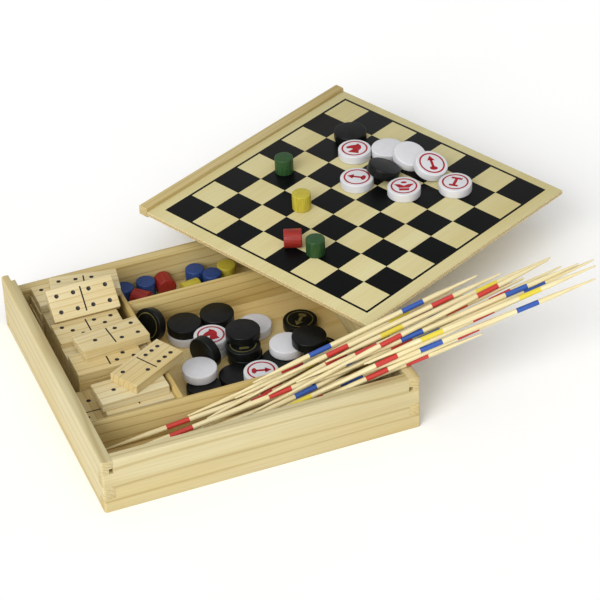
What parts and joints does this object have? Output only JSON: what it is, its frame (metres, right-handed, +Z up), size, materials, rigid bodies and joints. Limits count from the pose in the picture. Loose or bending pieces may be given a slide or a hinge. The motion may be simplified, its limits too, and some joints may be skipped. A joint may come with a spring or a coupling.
{
  "type": "games compendium box",
  "caption": "Flat finger-jointed wooden tray with dividers and a printed board lid laid across it, holding dominoes, round men, pawns and pick-up sticks.",
  "frame": {"origin": "middle of the tray's underside", "axes": "+Z up, +X to the right along the front wall, +Y towards the back wall"},
  "size_m": [0.4217, 0.3716, 0.0886],
  "materials": {
    "pine": "planed, clear satin",
    "plywood": "sanded, uncoated",
    "lid_plywood": "sanded and printed, satin",
    "lid_rail_pine": "planed, clear satin",
    "domino_wood": "sanded, uncoated",
    "black_lacquer": "black lacquer on wood, semi-gloss",
    "white_lacquer": "white lacquer on wood, semi-gloss",
    "blue_lacquer": "blue lacquer on wood",
    "red_lacquer": "red lacquer on wood",
    "yellow_lacquer": "yellow lacquer on wood",
    "green_lacquer": "green lacquer on wood",
    "stick_wood": "sanded, with painted bands"
  },
  "bodies": {
    "tray": {"front_wall": "pine", "back_wall": "pine", "left_wall": "pine", "right_wall": "pine", "bottom_panel": "plywood", "front_divider": "pine", "cross_divider": "pine", "rear_divider": "pine"},
    "lid": {"lid_panel": "lid_plywood", "lid_rail": "lid_rail_pine"},
    "men_on_lid": {"white_men_on_lid": "white_lacquer", "black_men_on_lid": "black_lacquer"},
    "pawns_on_lid": {"pawns_green_on_lid": "green_lacquer", "pawn_yellow_on_lid": "yellow_lacquer", "pawn_red_on_lid": "red_lacquer"},
    "dominoes": {"domino_01": "domino_wood", "domino_02": "domino_wood", "domino_03": "domino_wood", "domino_04": "domino_wood", "domino_05": "domino_wood", "domino_06": "domino_wood", "domino_07": "domino_wood", "domino_08": "domino_wood", "domino_09": "domino_wood", "domino_10": "domino_wood", "domino_11": "domino_wood", "domino_12": "domino_wood", "domino_13": "domino_wood", "domino_14": "domino_wood", "domino_15": "domino_wood", "domino_16": "domino_wood", "domino_17": "domino_wood", "domino_18": "domino_wood", "domino_19": "domino_wood", "domino_20": "domino_wood", "domino_21": "domino_wood", "domino_22": "domino_wood", "domino_23": "domino_wood", "domino_24": "domino_wood", "domino_25": "domino_wood", "domino_26": "domino_wood", "domino_27": "domino_wood", "domino_28": "domino_wood"},
    "men": {"black_men": "black_lacquer", "white_men": "white_lacquer"},
    "man_by_lid": {"black_man_by_lid": "black_lacquer"},
    "pawns_left": {"pawns_blue_left": "blue_lacquer", "pawns_red_left": "red_lacquer"},
    "pawns_right": {"pawns_blue_right": "blue_lacquer", "pawns_yellow_right": "yellow_lacquer"},
    "pawns_under_lid": {"pawn_red_under_lid": "red_lacquer", "pawn_yellow_under_lid": "yellow_lacquer", "pawns_green_under_lid": "green_lacquer"},
    "sticks": {"sticks_red": "stick_wood", "sticks_blue": "stick_wood", "sticks_yellow": "stick_wood"}
  },
  "joints": [
    {"name": "lid_lift", "type": "slide", "parent": "tray", "child": "lid", "axis": [0, 0, 1], "range_m": [0, 0.12]},
    {"name": "men_on_lid_lift", "type": "slide", "parent": "lid", "child": "men_on_lid", "axis": [0, 0, 1], "range_m": [0, 0.06]},
    {"name": "pawns_on_lid_lift", "type": "slide", "parent": "lid", "child": "pawns_on_lid", "axis": [0, 0, 1], "range_m": [0, 0.06]},
    {"name": "dominoes_lift", "type": "slide", "parent": "tray", "child": "dominoes", "axis": [0, 0, 1], "range_m": [0, 0.05]},
    {"name": "men_lift", "type": "slide", "parent": "tray", "child": "men", "axis": [0, 0, 1], "range_m": [0, 0.05]},
    {"name": "man_by_lid_lift", "type": "slide", "parent": "tray", "child": "man_by_lid", "axis": [-0.5402, -0.2601, 0.8003], "range_m": [0, 0.052]},
    {"name": "pawns_left_lift", "type": "slide", "parent": "tray", "child": "pawns_left", "axis": [0, 0, 1], "range_m": [0, 0.06]},
    {"name": "pawns_right_lift", "type": "slide", "parent": "tray", "child": "pawns_right", "axis": [-0.6358, -0.3108, 0.7065], "range_m": [0, 0.056]},
    {"name": "pawns_under_lid_lift", "type": "slide", "parent": "tray", "child": "pawns_under_lid", "axis": [0, 0, 1], "range_m": [0, 0.0235]},
    {"name": "sticks_lift", "type": "slide", "parent": "tray", "child": "sticks", "axis": [0, 0, 1], "range_m": [0, 0.06]}
  ]
}
